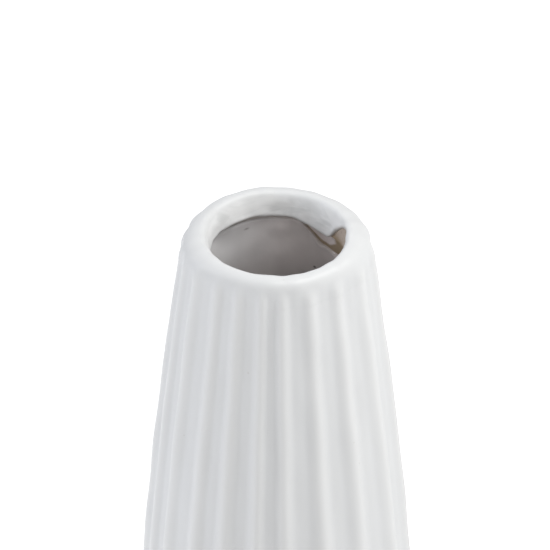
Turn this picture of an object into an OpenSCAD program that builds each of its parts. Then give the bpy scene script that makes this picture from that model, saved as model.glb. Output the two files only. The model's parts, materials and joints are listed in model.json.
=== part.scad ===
// Fluted stoneware flower vase: one slip-cast clay body and the coats of glaze fired onto it.
// Millimetres, +Z up, origin at the centre of the foot's underside. One flute ridge faces -Y.

/* [Outside] */
// Height from the foot to the crest of the lip
height = 212; // [180:1:240]
// Radius over the flute ridges at the foot, where the wall stands upright
base_r = 34.5; // [32:0.5:35.5]
// Radius of the rounding between the wall and the foot
foot_round = 3; // [2.5:0.5:4]
// Radius of the lip's outer rounding
lip_r = 4.8; // [4.5:0.1:5.2]
// Distance from the vase's axis to the crest of the lip
crest_r = 14.8; // [14.6:0.1:15.4]

/* [Mouth] */
// Radius of the glazed mouth
mouth_r = 13.5; // [13:0.1:13.6]
// Depth of the mouth's wall, from the crest down to the ledge
mouth_depth = 5.4; // [5:0.1:7]
// Height of the ledge's sloping underside
ledge_drop = 1.4; // [1:0.1:2]

/* [Flutes] */
// Number of flutes around the body
flute_count = 21; // [20:1:21]
// Radius of each flute's hollow
flute_r = 9; // [8.6:0.1:9.1]
// Width of the ridge left between two flutes
ridge_w = 0.9; // [0.8:0.1:1.2]

/* [Wall and foot] */
// Clay thickness behind the deepest part of a flute
wall = 3.6; // [3:0.1:4]
// Height of the cavity's floor above the foot
floor_z = 7.2; // [6:0.1:9]
// Radius of the rounding between the cavity's floor and its wall
floor_round = 8; // [5:0.5:10]
// Distance from the wall's lower rounding in to the foot ring
foot_ring_in = 0.5; // [0.3:0.1:1.5]
// Width of the foot ring
foot_ring_w = 5.6; // [4:0.1:7]
// Depth of the recess inside the foot ring
recess = 2.4; // [1.5:0.1:3]

/* [Glaze] */
// Thickness of the outer glaze
outer_coat = 0.45; // [0.35:0.05:0.5]
// Thickness of the inner glaze
inner_coat = 0.35; // [0.3:0.05:0.4]
// Height above the foot where the outer glaze is wiped off
wipe_z = 1.5; // [1:0.1:2]
// Width of the bare clay line between the outer and the inner glaze
bare_line = 0.6; // [0.4:0.1:1]

/* [Hidden] */
$fn = 144;
steps_lip = 6; // points along the lip's rounding
steps_wall = 6; // points along the wall
steps_round = 4; // points along each small rounding
overrun = 1; // how far a cutting shape reaches past the surface that it cuts
tiny_round = 0.3; // rounding of the foot ring's edges, less than the outer glaze's thickness
cutter_margin = 0.15; // how far a flute's cutting shape reaches past the wall

foot_ring_r = base_r - foot_round - foot_ring_in;
ledge_z = height - mouth_depth;
crest_round = crest_r - mouth_r;
lip_c = [crest_r, height - lip_r];
pitch_angle = 360 / flute_count;

// The wall is one arc, upright at the foot's rounding and tangent to the lip's rounding.
wall_rise = lip_c.y - foot_round;
wall_lean = base_r - lip_c.x;
wall_arc_r = (wall_rise ^ 2 + wall_lean ^ 2 - lip_r ^ 2) / (2 * (wall_lean - lip_r));
wall_arc_c = [base_r - wall_arc_r, foot_round];
wall_end_angle = atan2(wall_rise, lip_c.x - wall_arc_c.x);

// Radius of the wall over the ridges, at height z
function wall_radius(z) = wall_arc_c.x + sqrt(wall_arc_r ^ 2 - (z - foot_round) ^ 2);

// Distance from the vase's axis to a flute's centre, so that the ridges keep their width, at height z
function flute_centre(z) =
    let (r = wall_radius(z), half = pitch_angle / 2 - ridge_w / 2 / r * 180 / PI)
    r * cos(half) + sqrt(flute_r ^ 2 - (r * sin(half)) ^ 2);

// Centre of the circle through three points
function circle_centre(a, b, c) =
    let (
        d = 2 * (a.x * (b.y - c.y) + b.x * (c.y - a.y) + c.x * (a.y - b.y)),
        na = a * a,
        nb = b * b,
        nc = c * c
    )
    [
        (na * (b.y - c.y) + nb * (c.y - a.y) + nc * (a.y - b.y)) / d,
        (na * (c.x - b.x) + nb * (a.x - c.x) + nc * (b.x - a.x)) / d
    ];

// Every flute's centre line is the arc through these three points.
flute_low = [flute_centre(foot_round), foot_round];
flute_mid = [flute_centre(foot_round + wall_rise / 2), foot_round + wall_rise / 2];
flute_top = [flute_centre(lip_c.y), lip_c.y];
flute_arc_c = circle_centre(flute_low, flute_mid, flute_top);
flute_arc_r = norm(flute_low - flute_arc_c);
flute_start = asin((-foot_round - overrun - flute_arc_c.y) / flute_arc_r);
flute_end = asin((height + overrun - flute_arc_c.y) / flute_arc_r);

flute_depth_low = base_r - (flute_low.x - flute_r);
flute_depth_top = wall_radius(lip_c.y) - (flute_top.x - flute_r);
cutter_h = flute_depth_low + cutter_margin;

// The cavity's wall is an arc too, upright at the floor's rounding. Its measures are rounded, so
// that it meets that rounding exactly.
cavity_r = round(10 * (base_r - flute_depth_low - outer_coat - wall)) / 10;
cavity_top_r = wall_radius(lip_c.y) - flute_depth_top - outer_coat - wall;
cavity_foot_z = floor_z + floor_round;
cavity_top_z = ledge_z - ledge_drop;
cavity_rise = cavity_top_z - cavity_foot_z;
cavity_lean = cavity_r - cavity_top_r;
cavity_arc_r = round((cavity_rise ^ 2 + cavity_lean ^ 2) / (2 * cavity_lean));
cavity_arc_c = [cavity_r - cavity_arc_r, cavity_foot_z];

// Points along an arc, from angle a to angle b
function arc(centre, r, a, b, steps) =
    [for (i = [0:steps]) centre + r * [cos(a + (b - a) * i / steps), sin(a + (b - a) * i / steps)]];

// Profile of the wall and the lip, from the foot up and down into the mouth, inset from the glaze
function outline(inset) = concat(
    arc([base_r - foot_round, foot_round], foot_round - inset, -90, 0, steps_round),
    arc(wall_arc_c, wall_arc_r - inset, wall_end_angle / steps_wall, wall_end_angle, steps_wall - 1),
    arc(lip_c, lip_r - inset, wall_end_angle + (90 - wall_end_angle) / steps_lip, 90, steps_lip - 1),
    arc([crest_r, height - crest_round], crest_round - inset, 90 + 90 / steps_round, 180,
        steps_round - 1),
    [[mouth_r + inset, ledge_z]]
);

// Half section of the space inside, up to the ledge, inset by its glaze
module cavity_section(inset) {
    intersection() {
        translate(cavity_arc_c)
            circle(cavity_arc_r - inset, $fn = 256);
        polygon([
            [0, cavity_foot_z],
            [base_r, cavity_foot_z],
            [base_r, cavity_top_z - inset],
            [cavity_top_r, cavity_top_z - inset],
            [mouth_r + outer_coat, ledge_z - inset],
            [0, ledge_z - inset]
        ]);
    }
    polygon(concat(
        [[0, floor_z + inset]],
        arc([cavity_r - floor_round, cavity_foot_z], floor_round - inset, -90, 0, steps_round),
        [[0, cavity_foot_z]]
    ));
}

// Profile of the foot: the underside, the recess and the ring that the vase stands on
foot_outline = [
    [0, recess],
    [foot_ring_r - foot_ring_w, recess],
    [foot_ring_r - foot_ring_w, tiny_round],
    [foot_ring_r - foot_ring_w + tiny_round, 0],
    [foot_ring_r - tiny_round, 0],
    [foot_ring_r, tiny_round],
    [foot_ring_r, outer_coat]
];

// One flute's hollow, grown by inset and cut off flat just outside the wall
module flute(inset) {
    translate([flute_arc_c.x, 0, flute_arc_c.y])
        rotate([90, 0, 0])
            rotate([0, 0, flute_start])
                rotate_extrude(angle = flute_end - flute_start, $fn = 256)
                    translate([flute_arc_r, 0])
                        intersection() {
                            circle(flute_r + inset, $fn = 96);
                            translate([-2 * flute_r, -flute_r])
                                square([flute_r + cutter_h, 2 * flute_r]);
                        }
}

// Every second flute in the given range. At the default sizes these hollows don't touch one another.
module flutes(first, last, inset) {
    for (i = [first:2:last])
        rotate([0, 0, (i + 0.5) * pitch_angle - 90])
            flute(inset);
}

// The half section given as a child, revolved, with the flutes hollowed out of it
module fluted(inset) {
    difference() {
        difference() {
            rotate_extrude()
                children();
            flutes(0, flute_count - 2, inset);
        }
        flutes(1, flute_count - 2, inset);
        flutes(flute_count - 1, flute_count - 1, inset);
    }
}

// The slip-cast and fired stoneware shell, bare only at the foot ring and along the ledge
module clay_body() {
    color("peru")
        fluted(outer_coat)
            difference() {
                polygon(concat(foot_outline, outline(outer_coat), [[0, ledge_z]]));
                cavity_section(0);
            }
}

// Satin white glaze over the fluted wall and the lip, and down the mouth to the ledge
module outer_glaze() {
    color("white")
        difference() {
            fluted(0)
                polygon(concat([[0, 0]], outline(0), [[0, ledge_z]]));
            fluted(outer_coat)
                polygon(concat([[0, outer_coat]], outline(outer_coat), [[0, ledge_z]]));
            translate([0, 0, -overrun])
                cylinder(r = base_r + overrun, h = wipe_z + overrun);
        }
}

// Glossy glaze that makes the cavity hold water
module inner_glaze() {
    color("lightgray")
        rotate_extrude()
            difference() {
                cavity_section(0);
                cavity_section(inner_coat);
                translate([0, ledge_z - bare_line])
                    square([base_r, mouth_depth]);
            }
}

// Glaze on the underside, inside the foot ring
module underside_glaze() {
    color("whitesmoke")
        translate([0, 0, recess - inner_coat])
            cylinder(r = foot_ring_r - foot_ring_w - tiny_round, h = inner_coat);
}

clay_body();
outer_glaze();
inner_glaze();
underside_glaze();
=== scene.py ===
"""Looks for the fluted stoneware vase.

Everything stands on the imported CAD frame. Shapes are worked out in millimetres and go into the
meshes in metres. Angles around the vase start at +X, its right, and grow towards +Y, its back.
"""

import json
import math

import bpy
import numpy as np
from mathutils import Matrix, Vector


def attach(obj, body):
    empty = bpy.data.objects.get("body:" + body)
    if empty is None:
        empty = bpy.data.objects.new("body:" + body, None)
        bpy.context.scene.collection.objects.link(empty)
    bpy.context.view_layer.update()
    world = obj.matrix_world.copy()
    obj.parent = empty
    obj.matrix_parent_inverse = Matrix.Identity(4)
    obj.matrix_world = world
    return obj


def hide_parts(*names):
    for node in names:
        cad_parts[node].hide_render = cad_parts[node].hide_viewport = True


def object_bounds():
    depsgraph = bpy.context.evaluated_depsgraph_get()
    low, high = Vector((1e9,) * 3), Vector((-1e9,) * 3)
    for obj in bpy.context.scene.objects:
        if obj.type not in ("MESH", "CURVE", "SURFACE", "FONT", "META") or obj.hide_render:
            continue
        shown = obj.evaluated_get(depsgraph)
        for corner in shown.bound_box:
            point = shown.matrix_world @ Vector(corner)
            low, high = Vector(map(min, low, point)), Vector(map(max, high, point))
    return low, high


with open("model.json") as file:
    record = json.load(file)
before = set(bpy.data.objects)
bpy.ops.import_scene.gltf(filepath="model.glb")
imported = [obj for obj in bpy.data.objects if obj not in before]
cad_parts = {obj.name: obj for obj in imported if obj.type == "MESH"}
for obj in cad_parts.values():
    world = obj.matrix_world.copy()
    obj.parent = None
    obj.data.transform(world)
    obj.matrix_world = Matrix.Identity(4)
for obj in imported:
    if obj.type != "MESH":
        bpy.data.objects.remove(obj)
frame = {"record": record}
cad_lo, cad_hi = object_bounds()
MM = 0.001
mounts = {m["name"]: m for m in frame["record"]["mounts"]}

# ---------------------------------------------------------------- sizes, in millimetres
HEIGHT = cad_hi[2] / MM
BASE_R = -cad_lo[1] / MM  # over the ridges, at the foot: one of them faces -Y
MOUTH_R = mounts["mouth"]["dims"]["r_mm"]
FLUTES = 21

COAT = 0.45  # outer glaze
LINER = 0.38  # inner glaze
UNDER_COAT = 0.34  # glaze on the underside
SUNK = 0.03  # how far the back of every coat reaches into the clay
REACH = 0.12  # the clay's slope is taken between points this far to either side
CORNER_REACH = 0.6  # the same, where glaze fills a corner

CREST_R = 15.1  # from the axis to the lip's crest
SHOULDER_R = 19.85  # where the lip's rounding meets the wall
SHOULDER_DROP = 5.9  # from the crest down to the shoulder
TAPER = 0.150  # the wall's slope at the shoulder
FOOT_ROUND = 3.0  # rounding between the wall and the foot

BEAD_DEPTH = 5.4  # from the crest down to the lip bead's lower edge
BEAD_ROUND = 0.5  # rounding of that edge
LEDGE_R = 15.35  # where the ledge under the bead meets the cavity
LEDGE_DEPTH = 6.7
LEDGE_EASE = 0.4  # the cavity's wall starts this much below the ledge's end

CAVITY_R = 28.8  # at the floor's rounding
CAVITY_ARC = 1324.0  # radius of the arc that the cavity's wall follows
FLOOR_Z = 7.2
FLOOR_ROUND = 8.0

RING_OUT = 31.0  # the foot ring
RING_IN = 25.4
RING_ROUND = 0.6
RING_RISE = 0.5  # height of its outer rounding
RECESS = 2.4  # depth inside the ring
RECESS_ROUND = 1.0
WIPE_Z = 1.5  # where the outer glaze is wiped off

FLUTE_DEPTH = 0.042  # as a share of the radius
THINNED = 1.2  # how much was wiped off the front of the lip
BEAD_SAG = 1.7  # how far the bead's edge was pushed down at the right rear
BARE_PATCH = 3.95  # how much higher the outer glaze ends on the right
LINER_DEPTH = 6.2  # from the crest down to the inner glaze
LINER_LOW = 5.4  # how much lower the inner glaze begins on the right

ASIDE = 0.16  # how far the wall stands off the axis, to the right
SWAY = 0.08  # slow waves of the wall
RIPPLE = 0.03  # quick ones
THROAT_RIPPLE = 0.09  # quick waves inside the mouth
LIP_SWAY = 0.07  # waves of the lip's height
GLAZE_WANDER = 0.09  # waves of the outer glaze's edge inside the mouth
LINER_WANDER = 0.07  # of the inner glaze's edge
WIPE_WANDER = 0.25  # of the outer glaze's edge at the foot
UNDER_WANDER = 0.12  # of the underside glaze's edge
FLUTES_ASIDE = 4.7  # degrees by which a few flutes near the front stand aside
CROWDING = 0.236  # radians by which the flutes crowd together on the left
RIDGE_TURN = 0.301  # radians by which all the flutes are turned
LIP_SHALLOW = 0.22  # share of their depth that the flutes lose near the lip
COLUMNS_PER_FLUTE = 18  # in the meshes

# Stretches around the mouth, in degrees: grows from, to, and fades from, to
SAG_SIDE = (-5, 38, 54, 76)
BARE_SIDE = (-24, -8, 15, 41)
LINER_SIDE = (-42, -4, 50, 73)
# where the clay is darkened: brown staining and painted shade under the ledge
STAIN_AND_SHADE_SIDE = (-60, -30, 58, 70)


def smooth(x, a, b):
    """0 at a, 1 at b, with level ends."""
    t = np.clip((np.asarray(x, float) - a) / (b - a), 0.0, 1.0)
    return t * t * (3 - 2 * t)


def window(x, a, b, c, d):
    """Grows from 0 at a to 1 at b, and fades from 1 at c to 0 at d."""
    return smooth(x, a, b) * (1 - smooth(x, c, d))


def ellipse(centre, radii, first, last, count):
    """Points along part of an ellipse, between two angles in degrees."""
    t = np.radians(np.linspace(first, last, count))
    return np.stack([centre[0] + radii[0] * np.cos(t), centre[1] + radii[1] * np.sin(t)], 1)


def line(a, b, count):
    """Evenly spaced points on a straight line, ends included."""
    return np.linspace(a, b, count)


def spaced(stops, counts):
    """Numbers through all the stops. Each count is for one stretch, with both its ends."""
    runs = [np.linspace(a, b, n)[:-1] for a, b, n in zip(stops, stops[1:], counts)]
    return np.concatenate(runs + [stops[-1:]])


def bridge(a, b, shares):
    """Rows of numbers between the rows a and b, at the given shares of the way."""
    return [a + (b - a) * t for t in shares]


# ---------------------------------------------------------------- the clay's half section
# One path from the middle of the underside, out and up the wall, over the lip, and down inside
# to the middle of the cavity's floor. A place on it is told by its length along the path.
shoulder_z = HEIGHT - SHOULDER_DROP
wall_fall = shoulder_z - FOOT_ROUND
wall_bend = (SHOULDER_R + TAPER * wall_fall - BASE_R) / wall_fall**2
wall_z = np.linspace(FOOT_ROUND, shoulder_z, 500)
below_shoulder = shoulder_z - wall_z
wall_r = SHOULDER_R + TAPER * below_shoulder - wall_bend * below_shoulder**2 - COAT

throat_r = MOUTH_R + COAT
bead_z = HEIGHT - BEAD_DEPTH + COAT
bead_end = (throat_r + 0.37, bead_z - 0.48)  # close to the end of the bead's rounding
ledge_end = (LEDGE_R, HEIGHT - LEDGE_DEPTH)
floor_top = FLOOR_Z + FLOOR_ROUND
cavity_z = np.linspace(ledge_end[1] - LEDGE_EASE, floor_top, 500)
cavity_r = CAVITY_R - CAVITY_ARC + np.sqrt(CAVITY_ARC**2 - (cavity_z - floor_top) ** 2)

ring_from = RING_IN + RING_ROUND
ring_to = RING_OUT - RING_ROUND
recess_r = RING_IN - RECESS_ROUND
foot_r = FOOT_ROUND - COAT
lip_radii = (SHOULDER_R - CREST_R - COAT, SHOULDER_DROP - COAT)
bead_top = bead_z + BEAD_ROUND
bead_radii = (CREST_R - throat_r, HEIGHT - COAT - bead_top)
floor_r = CAVITY_R - FLOOR_ROUND
path = np.concatenate(
    [
        line((0, RECESS), (recess_r, RECESS), 60),
        ellipse((recess_r, RECESS - RECESS_ROUND), (RECESS_ROUND, RECESS_ROUND), 90, 0, 12)[1:],
        ellipse((ring_from, RING_ROUND), (RING_ROUND, RING_ROUND), 180, 270, 12),
        line((ring_from, 0), (ring_to, 0), 20)[1:],
        ellipse((ring_to, RING_RISE), (RING_ROUND, RING_RISE), -90, -10, 12)[1:],
        ellipse((BASE_R - FOOT_ROUND, FOOT_ROUND), (foot_r, foot_r), -90, 0, 40),
        np.stack([wall_r, wall_z], 1)[1:],
        ellipse((CREST_R, shoulder_z), lip_radii, 0, 90, 120)[1:],
        ellipse((CREST_R, bead_top), bead_radii, 90, 180, 90)[1:],
        ellipse((throat_r + BEAD_ROUND, bead_z), (BEAD_ROUND, BEAD_ROUND), 180, 255, 16),
        line(bead_end, ledge_end, 20)[1:],
        np.stack([cavity_r, cavity_z], 1),
        ellipse((floor_r, floor_top), (FLOOR_ROUND, FLOOR_ROUND), 0, -90, 60)[1:],
        line((floor_r, FLOOR_Z), (0, FLOOR_Z), 60)[1:],
    ]
)
step = np.hypot(*np.diff(path, axis=0).T)
path_l = np.concatenate([[0], np.cumsum(step)])
keep = np.concatenate([[True], step > 1e-9])
path, path_l = path[keep], path_l[keep]
PATH_END = path_l[-1]
top_i = int(np.argmax(path[:, 1]))
CREST_L = path_l[top_i]
RISING = slice(90, top_i + 1)  # from the foot ring's underside to the crest the path never falls
FALLING = slice(top_i, -130)  # from the crest to low on the cavity's wall it never rises


def at_height(z, inside):
    """Length along the path where it passes height z, on the wall's outside or inside."""
    if inside:
        return np.interp(-np.asarray(z, float), -path[FALLING, 1], path_l[FALLING])
    return np.interp(np.asarray(z, float), path[RISING, 1], path_l[RISING])


# ---------------------------------------------------------------- unevenness from the making
def waves(seed, count, low, high, pitch):
    """A smooth random field around the vase: it closes on itself after one turn. low and high
    are the fewest and most waves in a turn, and pitch is their shortest length upwards."""
    rng = np.random.default_rng(seed)
    per_turn = rng.integers(low, high + 1, count)
    climb = rng.uniform(-1, 1, count) * 2 * math.pi / pitch
    phase = rng.uniform(0, 2 * math.pi, count)
    size = rng.uniform(0.5, 1.0, count)
    size /= np.sqrt((size**2).sum() / 2)

    def field(theta, z):
        out = 0.0
        for i in range(count):
            out = out + size[i] * np.sin(per_turn[i] * theta + climb[i] * z + phase[i])
        return out

    return field


UPRIGHT = 1e9  # a pitch so long that the waves don't change with height
sway = waves(3, 7, 1, 4, 120.0)
ripple = waves(5, 9, 3, 11, 26.0)
lip_wave = waves(8, 6, 2, 7, UPRIGHT)
edge_wave = waves(13, 9, 3, 16, UPRIGHT)
coat_wave = waves(21, 10, 4, 30, 18.0)


def turn(theta):
    """Angle about the axis from +X, in degrees, from -180 to 180."""
    return (np.degrees(theta) + 180.0) % 360.0 - 180.0


def sag(theta):
    """How much lower the lip bead's edge hangs, where it was pushed down at the right rear."""
    return BEAD_SAG * window(turn(theta), *SAG_SIDE)


def thinned(theta, along, z):
    """How much thinner the lip is at the front, where it was wiped down."""
    front = smooth(-np.sin(theta), 0.25, 1.0)
    near_crest = smooth(along, CREST_L, CREST_L - 5)
    return THINNED * front * near_crest * smooth(z, HEIGHT - 70, HEIGHT - 10)


def ribs(theta, z):
    """How much of a ridge, from 0 in the middle of a flute to 1 on a ridge, and how far the
    flutes are formed at that height. They were pressed by hand, and differ in width."""
    a = turn(theta + math.pi / 2)
    shift = FLUTES_ASIDE * window(a, -62, -38, -12, 4)
    phase = np.radians(a - shift) + CROWDING * np.cos(np.radians(a)) - RIDGE_TURN
    formed = smooth(z, HEIGHT - 1.4, HEIGHT - 5.0) * smooth(z, 0.9, 4.0)
    formed = formed * (1 - LIP_SHALLOW * smooth(z, HEIGHT - 34, HEIGHT - 6))
    return 0.5 + 0.5 * np.cos(FLUTES * phase), formed


def fluting(theta, z):
    """How deep into a flute a point is: 0 on the ridges, 1 in the middle of a full flute."""
    ridge, formed = ribs(theta, z)
    return formed * (1 - ridge**2.2)


def clay(theta, along):
    """A point of the clay's surface, for an angle and a length along the path."""
    r = np.interp(along, path_l, path[:, 0])
    z = np.interp(along, path_l, path[:, 1])

    # the flutes, and a wall that is neither quite centred nor quite even
    wall_l = at_height(FOOT_ROUND, False)
    outside = window(along, wall_l - 6, wall_l, CREST_L - 1.2, CREST_L)
    r = r - FLUTE_DEPTH * r * outside * fluting(theta, z)
    uneven = ASIDE * np.cos(theta) + SWAY * sway(theta, z) + RIPPLE * ripple(theta, z)
    r = r + outside * smooth(z, 2, 20) * uneven
    r = r - outside * thinned(theta, along, z)

    # the lip, and the bead inside the mouth
    near_lip = smooth(np.abs(along - CREST_L), 16, 2)
    z = z + near_lip * LIP_SWAY * lip_wave(theta, 0.0)
    throat = window(along, CREST_L + 0.5, CREST_L + 3, CREST_L + 9, CREST_L + 22)
    r = r + throat * THROAT_RIPPLE * ripple(theta, 3 * z)
    bead = window(along, CREST_L + 1, CREST_L + 4.8, CREST_L + 6, CREST_L + 11)
    z = z - bead * sag(theta)
    return np.stack([r * np.cos(theta), r * np.sin(theta), z], -1)


def outward(theta, along, reach=REACH):
    """The clay's unit normal, from points within reach of it along the path. A longer reach
    rounds it over a corner."""
    aside = 0.006  # radians
    onward = clay(theta, along + reach) - clay(theta, along - reach)
    across = clay(theta + aside, along) - clay(theta - aside, along)
    n = np.cross(across, onward)
    return n / np.maximum(np.linalg.norm(n, axis=-1, keepdims=True), 1e-12)


# ---------------------------------------------------------------- meshes
def columns(count):
    """Angles of a mesh's columns, from the front once around."""
    return np.arange(count) * 2 * math.pi / count - math.pi / 2


def grid_object(name, rows, poles, layers, material, node):
    """A closed mesh from rows of points. A pole closes each end, or with no poles the last row
    joins the first. layers are numbers kept on the points for the material."""
    n_rows, n_cols = rows.shape[:2]
    verts = rows.reshape(-1, 3) * MM
    i = np.arange(n_rows if poles is None else n_rows - 1)[:, None]
    j = np.arange(n_cols)[None, :]
    i2 = (i + 1) % n_rows
    j2 = (j + 1) % n_cols
    corners = [i * n_cols + j, i * n_cols + j2, i2 * n_cols + j2, i2 * n_cols + j]
    quads = np.stack(corners, -1).reshape(-1, 4)
    faces = quads.tolist()
    values = {k: list(v.reshape(-1)) for k, v in layers.items()}
    if poles is not None:
        first = len(verts)
        verts = np.concatenate([verts, np.asarray(poles, float) * MM])
        last = (n_rows - 1) * n_cols
        here = np.arange(n_cols)
        beside = (here + 1) % n_cols
        faces += np.stack([np.full(n_cols, first), beside, here], -1).tolist()
        faces += np.stack([np.full(n_cols, first + 1), last + here, last + beside], -1).tolist()
        for k, v in layers.items():
            values[k] += [float(v[0].mean()), float(v[-1].mean())]
    a, b, c, d = (verts[quads[:, k]] for k in range(4))
    volume = (a * (np.cross(b, c) + np.cross(c, d))).sum()
    if volume < 0:
        faces = [f[::-1] for f in faces]
    mesh = bpy.data.meshes.new(name)
    mesh.from_pydata(verts.tolist(), [], faces)
    mesh.update()
    for k, v in values.items():
        layer = mesh.attributes.new(k, "FLOAT", "POINT")
        layer.data.foreach_set("value", np.asarray(v, np.float32))
    mesh.polygons.foreach_set("use_smooth", np.ones(len(mesh.polygons), bool))
    mesh.materials.append(material)
    obj = bpy.data.objects.new(name, mesh)
    bpy.context.scene.collection.objects.link(obj)
    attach(obj, "root")
    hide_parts(node)


# Distances of a coat's outermost rows from its edge
near_edge = np.array([0, 0.01, 0.035, 0.08, 0.15, 0.25, 0.38, 0.55, 0.8, 1.15, 1.6])


def tapered(distance, thickness):
    """A coat's thickness at a distance from its edge: a rounded, slightly swollen rim."""
    q = np.clip(distance / (1.3 * thickness), 0, 1)
    rim = np.sqrt(np.clip(1 - (1 - q) ** 2, 0, 1))
    swell = 0.22 * np.exp(-(((distance - 1.4 * thickness) / (1.6 * thickness)) ** 2))
    return thickness * rim * (1 + swell)


def coat(theta, front_l, back_l, distance, thickness, reach=REACH):
    """Rows of points over a coat's front, and then over its back, which lies in the clay."""
    angle = np.broadcast_to(theta, front_l.shape)
    raised = tapered(distance, thickness)[..., None]
    front = clay(angle, front_l) + outward(angle, front_l, reach) * raised
    angle = np.broadcast_to(theta, back_l.shape)
    back = clay(angle, back_l) - outward(angle, back_l) * SUNK
    return np.concatenate([front, back])


def front_only(values, back_l):
    """A layer for a coat's front, with zeros for its back."""
    return np.concatenate([values, np.zeros_like(back_l)])


# ---------------------------------------------------------------- material helpers
class Nodes:
    """A short way to write a node material."""

    def __init__(self, name):
        self.material = bpy.data.materials.new(name)
        self.material.use_nodes = True
        self.tree = self.material.node_tree
        self.shader = self.tree.nodes["Principled BSDF"]
        self.where = self.tree.nodes.new("ShaderNodeTexCoord").outputs["Object"]

    def link(self, a, b):
        self.tree.links.new(a, b)

    def set(self, socket, value):
        if hasattr(value, "default_value"):
            self.link(value, socket)
        else:
            socket.default_value = value

    def noise(self, scale, detail, rough=0.5, distort=0.0, stretch=None):
        n = self.tree.nodes.new("ShaderNodeTexNoise")
        n.inputs["Scale"].default_value = scale
        n.inputs["Detail"].default_value = detail
        n.inputs["Roughness"].default_value = rough
        n.inputs["Distortion"].default_value = distort
        where = self.where
        if stretch:
            m = self.tree.nodes.new("ShaderNodeMapping")
            m.inputs["Scale"].default_value = stretch
            self.link(self.where, m.inputs["Vector"])
            where = m.outputs["Vector"]
        self.link(where, n.inputs["Vector"])
        return n.outputs["Fac"]

    def spots(self, scale):
        """Distance from the nearest of many scattered points."""
        n = self.tree.nodes.new("ShaderNodeTexVoronoi")
        n.inputs["Scale"].default_value = scale
        self.link(self.where, n.inputs["Vector"])
        return n.outputs["Distance"]

    def layer(self, name):
        """A number kept on the mesh's points, or 0 where the mesh has no such layer."""
        n = self.tree.nodes.new("ShaderNodeAttribute")
        n.attribute_name = name
        return n.outputs["Fac"]

    def remap(self, value, a, b, lo=0.0, hi=1.0):
        n = self.tree.nodes.new("ShaderNodeMapRange")
        n.interpolation_type = "SMOOTHSTEP"
        self.set(n.inputs["Value"], value)
        for key, v in (("From Min", a), ("From Max", b), ("To Min", lo), ("To Max", hi)):
            n.inputs[key].default_value = v
        return n.outputs["Result"]

    def math(self, kind, a, b):
        n = self.tree.nodes.new("ShaderNodeMath")
        n.operation = kind
        self.set(n.inputs[0], a)
        self.set(n.inputs[1], b)
        return n.outputs[0]

    def times(self, a, b):
        return self.math("MULTIPLY", a, b)

    def mix(self, factor, a, b):
        n = self.tree.nodes.new("ShaderNodeMix")
        n.data_type = "RGBA"
        self.set(n.inputs[0], factor)
        for socket, v in ((n.inputs[6], a), (n.inputs[7], b)):
            if isinstance(v, tuple):
                socket.default_value = (*v, 1.0)
            else:
                self.link(v, socket)
        return n.outputs[2]

    def bump(self, height, distance, strength, under=None):
        """Bump of the given height in metres, on top of the bump under it."""
        n = self.tree.nodes.new("ShaderNodeBump")
        n.inputs["Strength"].default_value = strength
        n.inputs["Distance"].default_value = distance
        self.link(height, n.inputs["Height"])
        if under is not None:
            self.link(under, n.inputs["Normal"])
        return n.outputs["Normal"]

    def finish(self, colour, roughness, normal, **constants):
        self.link(colour, self.shader.inputs["Base Color"])
        self.set(self.shader.inputs["Roughness"], roughness)
        self.link(normal, self.shader.inputs["Normal"])
        for key, v in constants.items():
            self.shader.inputs[key.replace("_", " ")].default_value = v
        return self.material


# ---------------------------------------------------------------- materials
def white_glaze():
    """Satin matt glaze: lighter along the ridges as a painted highlight, and inside the mouth lighter,
    with streaky painted highlights, as painted light over thicker glaze.
    """
    n = Nodes("white_glaze")
    cloud = n.noise(38, 4, 0.55)
    fine = n.noise(420, 3, 0.6)
    colour = n.mix(cloud, (0.705, 0.709, 0.711), (0.735, 0.742, 0.749))
    # painted highlight: the glaze is made lighter along the ridges' crests
    colour = n.mix(n.times(n.layer("ridge"), 0.3), colour, (0.86, 0.855, 0.84))
    # painted light: inside the mouth the glaze is made much lighter than outside, with streaky painted
    # highlights, over glaze that is thicker there
    highlight_streaks = n.remap(n.noise(110, 4, 0.6, 0.8, (1.0, 1.0, 2.4)), 0.40, 0.60)
    pooled = n.mix(highlight_streaks, (0.82, 0.83, 0.83), (0.945, 0.95, 0.95))
    colour = n.mix(n.layer("inside"), colour, pooled)
    specks = n.remap(n.spots(330), 0.035, 0.085, 0.28, 0.0)
    sparse = n.remap(n.noise(95, 2), 0.56, 0.66)
    colour = n.mix(n.times(specks, sparse), colour, (0.46, 0.42, 0.37))
    rim = n.remap(n.layer("rim"), 0.0, 0.8, 0.45, 0.0)
    colour = n.mix(rim, colour, (0.55, 0.50, 0.44))
    patchy = n.math("ADD", n.times(cloud, 0.7), n.times(fine, 0.3))
    rough = n.remap(patchy, 0.35, 0.65, 0.40, 0.54)
    soft = n.bump(n.noise(70, 3, 0.5, 0.3), 0.00022, 0.5)
    grain = n.bump(n.noise(1500, 2, 0.5), 0.00002, 0.5, soft)
    pits = n.bump(n.remap(n.spots(330), 0.02, 0.07), 0.00004, 0.4, grain)
    return n.finish(colour, rough, pits, Specular_IOR_Level=0.45)


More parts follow.
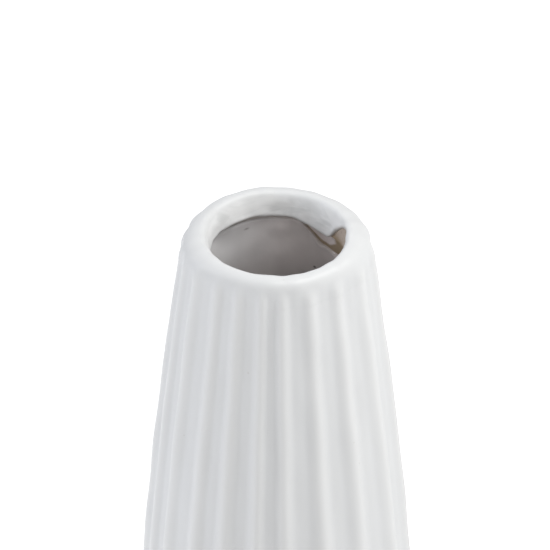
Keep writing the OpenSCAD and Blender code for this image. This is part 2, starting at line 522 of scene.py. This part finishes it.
def bare_clay():
    """Fired stoneware with dark and pale grains, washed with glaze in the mouth, and darker brown
    there: partly stained, partly painted shade under the ledge.
    """
    n = Nodes("bare_clay")
    cloud = n.noise(160, 4, 0.6)
    grit = n.noise(1300, 3, 0.65)
    colour = n.mix(cloud, (0.44, 0.355, 0.29), (0.60, 0.52, 0.45))
    colour = n.mix(n.remap(grit, 0.55, 0.68, 0.0, 0.55), colour, (0.29, 0.215, 0.16))
    pale = n.remap(n.spots(700), 0.08, 0.20, 0.5, 0.0)
    colour = n.mix(pale, colour, (0.68, 0.60, 0.52))
    # darker brown: partly staining, partly painted shade under the ledge
    colour = n.mix(n.layer("stain_and_ledge_shade"), colour, (0.40, 0.31, 0.215))
    wash = n.times(n.layer("wash"), n.remap(cloud, 0.3, 0.6, 0.75, 1.0))
    colour = n.mix(wash, colour, (0.88, 0.80, 0.78))
    coarse = n.remap(grit, 0.3, 0.7, 0.80, 0.95)
    rough = n.math("SUBTRACT", coarse, n.times(n.layer("wash"), 0.35))
    body = n.bump(n.noise(420, 4, 0.6), 0.00012, 0.7)
    grains = n.bump(grit, 0.00005, 0.8, body)
    return n.finish(colour, rough, grains, Specular_IOR_Level=0.3)


def grey_glaze(name, tint):
    """Glossy warm grey glaze with runs and pin holes, paler where its layers paint light on the lit
    side and darker where they paint shade further down.
    """
    n = Nodes(name)
    cloud = n.noise(55, 4, 0.55, 0.4)
    runs = n.noise(60, 3, 0.5, 0.0, (1.0, 1.0, 0.25))
    light = tuple(c * 1.06 for c in tint)
    dark = tuple(c * 0.86 for c in tint)
    # the colour for painted shade deep in the cavity
    deepest_shade = tuple(c * 0.62 for c in tint)
    run_tint = (tint[0] * 1.07, tint[1] * 1.02, tint[2] * 1.03)
    colour = n.mix(n.remap(cloud, 0.35, 0.65), dark, light)
    colour = n.mix(n.remap(runs, 0.52, 0.72, 0.0, 0.35), colour, run_tint)
    # painted light: paler on the upper part of the cavity's left wall, where the light falls
    colour = n.mix(n.times(n.layer("pale"), 0.9), colour, (0.96, 0.96, 0.965))
    # painted shade: darker further down in the cavity, where less light reaches
    colour = n.mix(n.times(n.layer("deep"), 0.88), colour, deepest_shade)
    holes = n.remap(n.spots(190), 0.035, 0.08, 0.7, 0.0)
    few = n.remap(n.noise(60, 2), 0.57, 0.66)
    colour = n.mix(n.times(holes, few), colour, (0.06, 0.05, 0.045))
    colour = n.mix(n.times(n.layer("fleck"), 0.6), colour, (0.16, 0.13, 0.11))
    rim = n.remap(n.layer("rim"), 0.1, 0.7, 0.45, 0.0)
    colour = n.mix(rim, colour, (0.36, 0.30, 0.26))
    rough = n.remap(n.noise(240, 3), 0.35, 0.65, 0.13, 0.24)
    slow = n.bump(n.noise(48, 2, 0.4), 0.0005, 0.5)
    peel = n.bump(n.noise(520, 2, 0.5), 0.00003, 0.4, slow)
    gloss = {"Specular_IOR_Level": 0.5, "Coat_Weight": 0.35, "Coat_Roughness": 0.08}
    return n.finish(colour, rough, peel, **gloss)


def floor_paper():
    """Pale studio paper, a little bright of its own."""
    n = Nodes("floor_paper")
    tone = n.mix(n.noise(9, 3), (0.90, 0.90, 0.90), (0.93, 0.93, 0.93))
    n.shader.inputs["Emission Color"].default_value = (1, 1, 1, 1)
    fibres = n.bump(n.noise(300, 3), 0.0001, 0.2)
    return n.finish(tone, 0.9, fibres, Specular_IOR_Level=0.1, Emission_Strength=0.42)


# ---------------------------------------------------------------- pieces
def glaze_end(theta):
    """Where the outer glaze ends inside the mouth, as a length along the path: on the bead's
    edge, but for a bare patch on the right."""
    bare = window(turn(theta), *BARE_SIDE)
    wander = GLAZE_WANDER * edge_wave(theta, 0.0) * (1 + 1.5 * bare)
    return at_height(HEIGHT - (BEAD_DEPTH + 0.05 - BARE_PATCH * bare + wander), True)


def liner_start(theta):
    """Where the inner glaze begins: just under the bead, and lower on the right."""
    low = window(turn(theta), *LINER_SIDE)
    wander = LINER_WANDER * edge_wave(theta + 2.0, 0.0) * (1 + 3.0 * low)
    return at_height(HEIGHT - (LINER_DEPTH + LINER_LOW * low + wander), True)


def make_clay_body():
    theta = columns(COLUMNS_PER_FLUTE * FLUTES)
    wipe = at_height(WIPE_Z, False)
    top = at_height(200, False)
    stops = [0.6, RING_IN - 1, wipe + 2, top, CREST_L + 1, CREST_L + 16, PATH_END - 30, PATH_END - 0.6]
    rows_l = spaced(stops, [10, 44, 50, 28, 84, 30, 18])
    grid_l, grid_t = np.meshgrid(rows_l, theta, indexing="ij")
    rows = clay(grid_t, grid_l)
    a = turn(grid_t)
    depth = HEIGHT - rows[..., 2]
    inside = (grid_l > CREST_L).astype(float)
    gap = liner_start(grid_t) - grid_l  # how far above the inner glaze
    line_w = 0.95 + 2.2 * (1 - smooth(a, 33, 46))  # the dark line, bare clay with painted shade under the bead, broadens to the right
    clear = smooth(gap, line_w - 0.3, line_w + 0.4)
    wash = inside * smooth(a, 35, 40) * smooth(depth, 5.6, 6.6) * clear
    # painted shade on the clay below the bead's edge, under the ledge
    below = smooth(depth, 4.4, 6.4) * (1 - smooth(a, 35, 41))
    # partly brown staining, partly painted shade under the ledge and along the dark line above the
    # inner glaze
    stain_and_ledge_shade = inside * window(a, *STAIN_AND_SHADE_SIDE) * np.maximum(below, 0.9 * (1 - clear))
    poles = [(0, 0, RECESS), (0, 0, FLOOR_Z)]
    layers = {"wash": wash, "stain_and_ledge_shade": stain_and_ledge_shade}
    grid_object("stoneware_body", rows, poles, layers, bare_clay_look, "clay_body")


def make_outer_glaze():
    theta = columns(COLUMNS_PER_FLUTE * FLUTES)
    start = at_height(WIPE_Z, False) + WIPE_WANDER * edge_wave(theta, 0.0)
    end = glaze_end(theta)
    wall_from = at_height(4.5, False)
    crest_to = CREST_L - 0.6  # above the glaze's end, at the bare patch too
    edge_rows = near_edge[:-1]
    level = [wall_from, at_height(196, False), at_height(shoulder_z - 1, False), crest_to]
    front = [start + d for d in edge_rows]
    front += bridge(start + 1.5, wall_from, np.linspace(0, 1, 5)[1:-1])
    front += [np.full_like(theta, m) for m in spaced(level, [72, 26, 40])]
    front += bridge(crest_to, end - 1.2, np.linspace(0, 1, 22)[1:])
    front += [end - d for d in edge_rows[::-1]]
    front_l = np.array(front)
    # the back has fewer rows, but the same ones near its edges
    back_l = np.concatenate([front_l[::-1][:12], front_l[::-1][12:-9:3], front_l[::-1][-9:]])

    angle = np.broadcast_to(theta, front_l.shape)
    z = clay(angle, front_l)[..., 2]
    thick = COAT * (1 + 0.10 * coat_wave(angle, z) + 0.10 * (fluting(angle, z) - 0.5))
    rows = coat(theta, front_l, back_l, np.minimum(front_l - start, end - front_l), thick)
    ridge_highlight_share, formed = ribs(angle, z)
    layers = {
        # painted highlight along the ridges, for the glaze's colour
        "ridge": front_only(formed * ridge_highlight_share**3, back_l),
        "rim": front_only(end - front_l, back_l),
        # where the glaze takes its lighter inside colour: painted light over thicker glaze
        "inside": front_only(smooth(front_l, CREST_L, CREST_L + 1.8), back_l),
    }
    grid_object("outer_glaze_coat", rows, None, layers, white_look, "outer_glaze")


def make_inner_glaze():
    theta = columns(330)
    start = liner_start(theta)
    level_from = CREST_L + 18
    level = spaced([level_from, PATH_END - 34, PATH_END - 0.8], [90, 30])[1:]
    front = [start + d for d in near_edge]
    front += bridge(start + near_edge[-1], level_from, np.linspace(0, 1, 26)[1:])
    front += [np.full_like(theta, m) for m in level]
    front_l = np.array(front)[::-1]
    # the back has fewer rows, but the same ones near its edge
    back_l = np.concatenate([front_l[::-1][:12], front_l[::-1][12::4]])

    angle = np.broadcast_to(theta, front_l.shape)
    z = clay(angle, front_l)[..., 2]
    off_axis = smooth(PATH_END - front_l, 6, 30)  # even around the middle of the floor
    thick = LINER * (1 + 0.12 * coat_wave(angle, z) * off_axis)
    rows = coat(theta, front_l, back_l, front_l - start, thick, CORNER_REACH)
    depth = HEIGHT - rows[..., 2]
    side = turn(np.broadcast_to(theta, depth.shape))
    # painted light: the upper part of the cavity's left wall is made paler, on the side the light falls
    # on
    pale = smooth(-np.cos(np.radians(side)), -0.25, 0.75) * (1 - smooth(depth, 16, 34))
    layers = {
        "rim": front_only(front_l - start, back_l),
        # painted shade: darker further down in the cavity, a little less on the lit side
        "deep": smooth(depth, 12, 27) * (1 - 0.15 * pale),
        "pale": pale,
        "fleck": np.exp(-(((side - 114) / 1.9) ** 2) - ((depth - 8.8) / 0.24) ** 2),
    }
    poles = [(0, 0, FLOOR_Z + LINER), (0, 0, FLOOR_Z - SUNK)]
    grid_object("inner_glaze_coat", rows, poles, layers, grey_look, "inner_glaze")


def make_underside_glaze():
    theta = columns(220)
    edge = RING_IN - 1.1 + UNDER_WANDER * edge_wave(theta, 0.0)
    inset = np.concatenate([near_edge, np.linspace(near_edge[-1], 23.0, 26)[1:]])
    front_l = np.array([edge - d for d in inset])[::-1]
    back_l = front_l[::-1]

    angle = np.broadcast_to(theta, front_l.shape)
    distance = edge - front_l
    pooled = 0.35 * np.exp(-(((distance - 1.8) / 1.6) ** 2))  # thicker in the recess's corner
    thick = UNDER_COAT * (1 + pooled + 0.08 * coat_wave(angle, front_l * 2))
    rows = coat(theta, front_l, back_l, distance, thick)
    layers = {"rim": front_only(distance, back_l)}
    poles = [(0, 0, RECESS - UNDER_COAT), (0, 0, RECESS + SUNK)]
    node = "underside_glaze"
    grid_object("underside_glaze_coat", rows, poles, layers, under_look, node)


white_look = white_glaze()
bare_clay_look = bare_clay()
grey_look = grey_glaze("grey_glaze", (0.88, 0.825, 0.815))
under_look = grey_glaze("underside_grey", (0.74, 0.70, 0.69))
make_clay_body()
make_outer_glaze()
make_inner_glaze()
make_underside_glaze()

# ---------------------------------------------------------------- floor, light and camera
FLOOR_HALF = 6  # half the floor's width, in metres
floor_mesh = bpy.data.meshes.new("floor")
floor_corners = [(x * FLOOR_HALF, y * FLOOR_HALF, 0) for x, y in ((-1, -1), (1, -1), (1, 1), (-1, 1))]
floor_mesh.from_pydata(floor_corners, [], [(0, 1, 2, 3)])
floor_mesh.materials.append(floor_paper())
floor = bpy.data.objects.new("floor", floor_mesh)
bpy.context.scene.collection.objects.link(floor)

world = bpy.data.worlds.new("studio")
bpy.context.scene.world = world
world.use_nodes = True
sky = world.node_tree.nodes["Background"]
sky.inputs["Color"].default_value = (0.985, 0.99, 1.0, 1)
sky.inputs["Strength"].default_value = 0.34


def aimed(obj, place, aim):
    """Put a light or the camera at a place, turned towards another, and into the scene."""
    obj.location = place
    obj.rotation_mode = "QUATERNION"
    obj.rotation_quaternion = (aim - place).to_track_quat("-Z", "Y")
    bpy.context.scene.collection.objects.link(obj)


def softbox(name, azimuth, elevation, distance, size, power, colour, height=0.15):
    """An area light aimed at the vase. Azimuth 0 is the camera's side, 90 its right."""
    a = math.radians(azimuth)
    e = math.radians(elevation)
    aim = Vector((0, 0, height))
    towards = Vector((math.sin(a) * math.cos(e), -math.cos(a) * math.cos(e), math.sin(e)))
    light = bpy.data.lights.new(name, "AREA")
    light.shape = "RECTANGLE"
    light.size, light.size_y = size
    light.energy = power
    light.color = colour
    obj = bpy.data.objects.new(name, light)
    obj.visible_camera = False
    aimed(obj, aim + distance * towards, aim)


softbox("key", 97, 58, 1.2, (0.45, 0.45), 6.9, (1.0, 1.0, 0.985))
softbox("fill", -92, 24, 1.2, (0.3, 0.6), 4.6, (0.90, 0.93, 1.0))
softbox("top", 38, 60, 0.35, (0.12, 0.12), 0.46, (1.0, 1.0, 0.99), HEIGHT * MM)

VIEW_ELEVATION = math.radians(35.2)
VIEW_DISTANCE = 0.60
AIM_BELOW = 0.0086  # how far below the lip's crest the camera looks, and how far to its left
AIM_LEFT = 0.0002
crest = Vector((0, 0, HEIGHT * MM))
view_up = Vector((0, math.sin(VIEW_ELEVATION), math.cos(VIEW_ELEVATION)))
view_back = Vector((0, -math.cos(VIEW_ELEVATION), math.sin(VIEW_ELEVATION)))
camera_data = bpy.data.cameras.new("camera")
camera_data.sensor_width = 36
camera_data.lens = 195.2
camera = bpy.data.objects.new("camera", camera_data)
aimed(camera, crest + VIEW_DISTANCE * view_back, crest - AIM_BELOW * view_up - Vector((AIM_LEFT, 0, 0)))
bpy.context.scene.camera = camera
bpy.context.scene.view_settings.view_transform = "Standard"
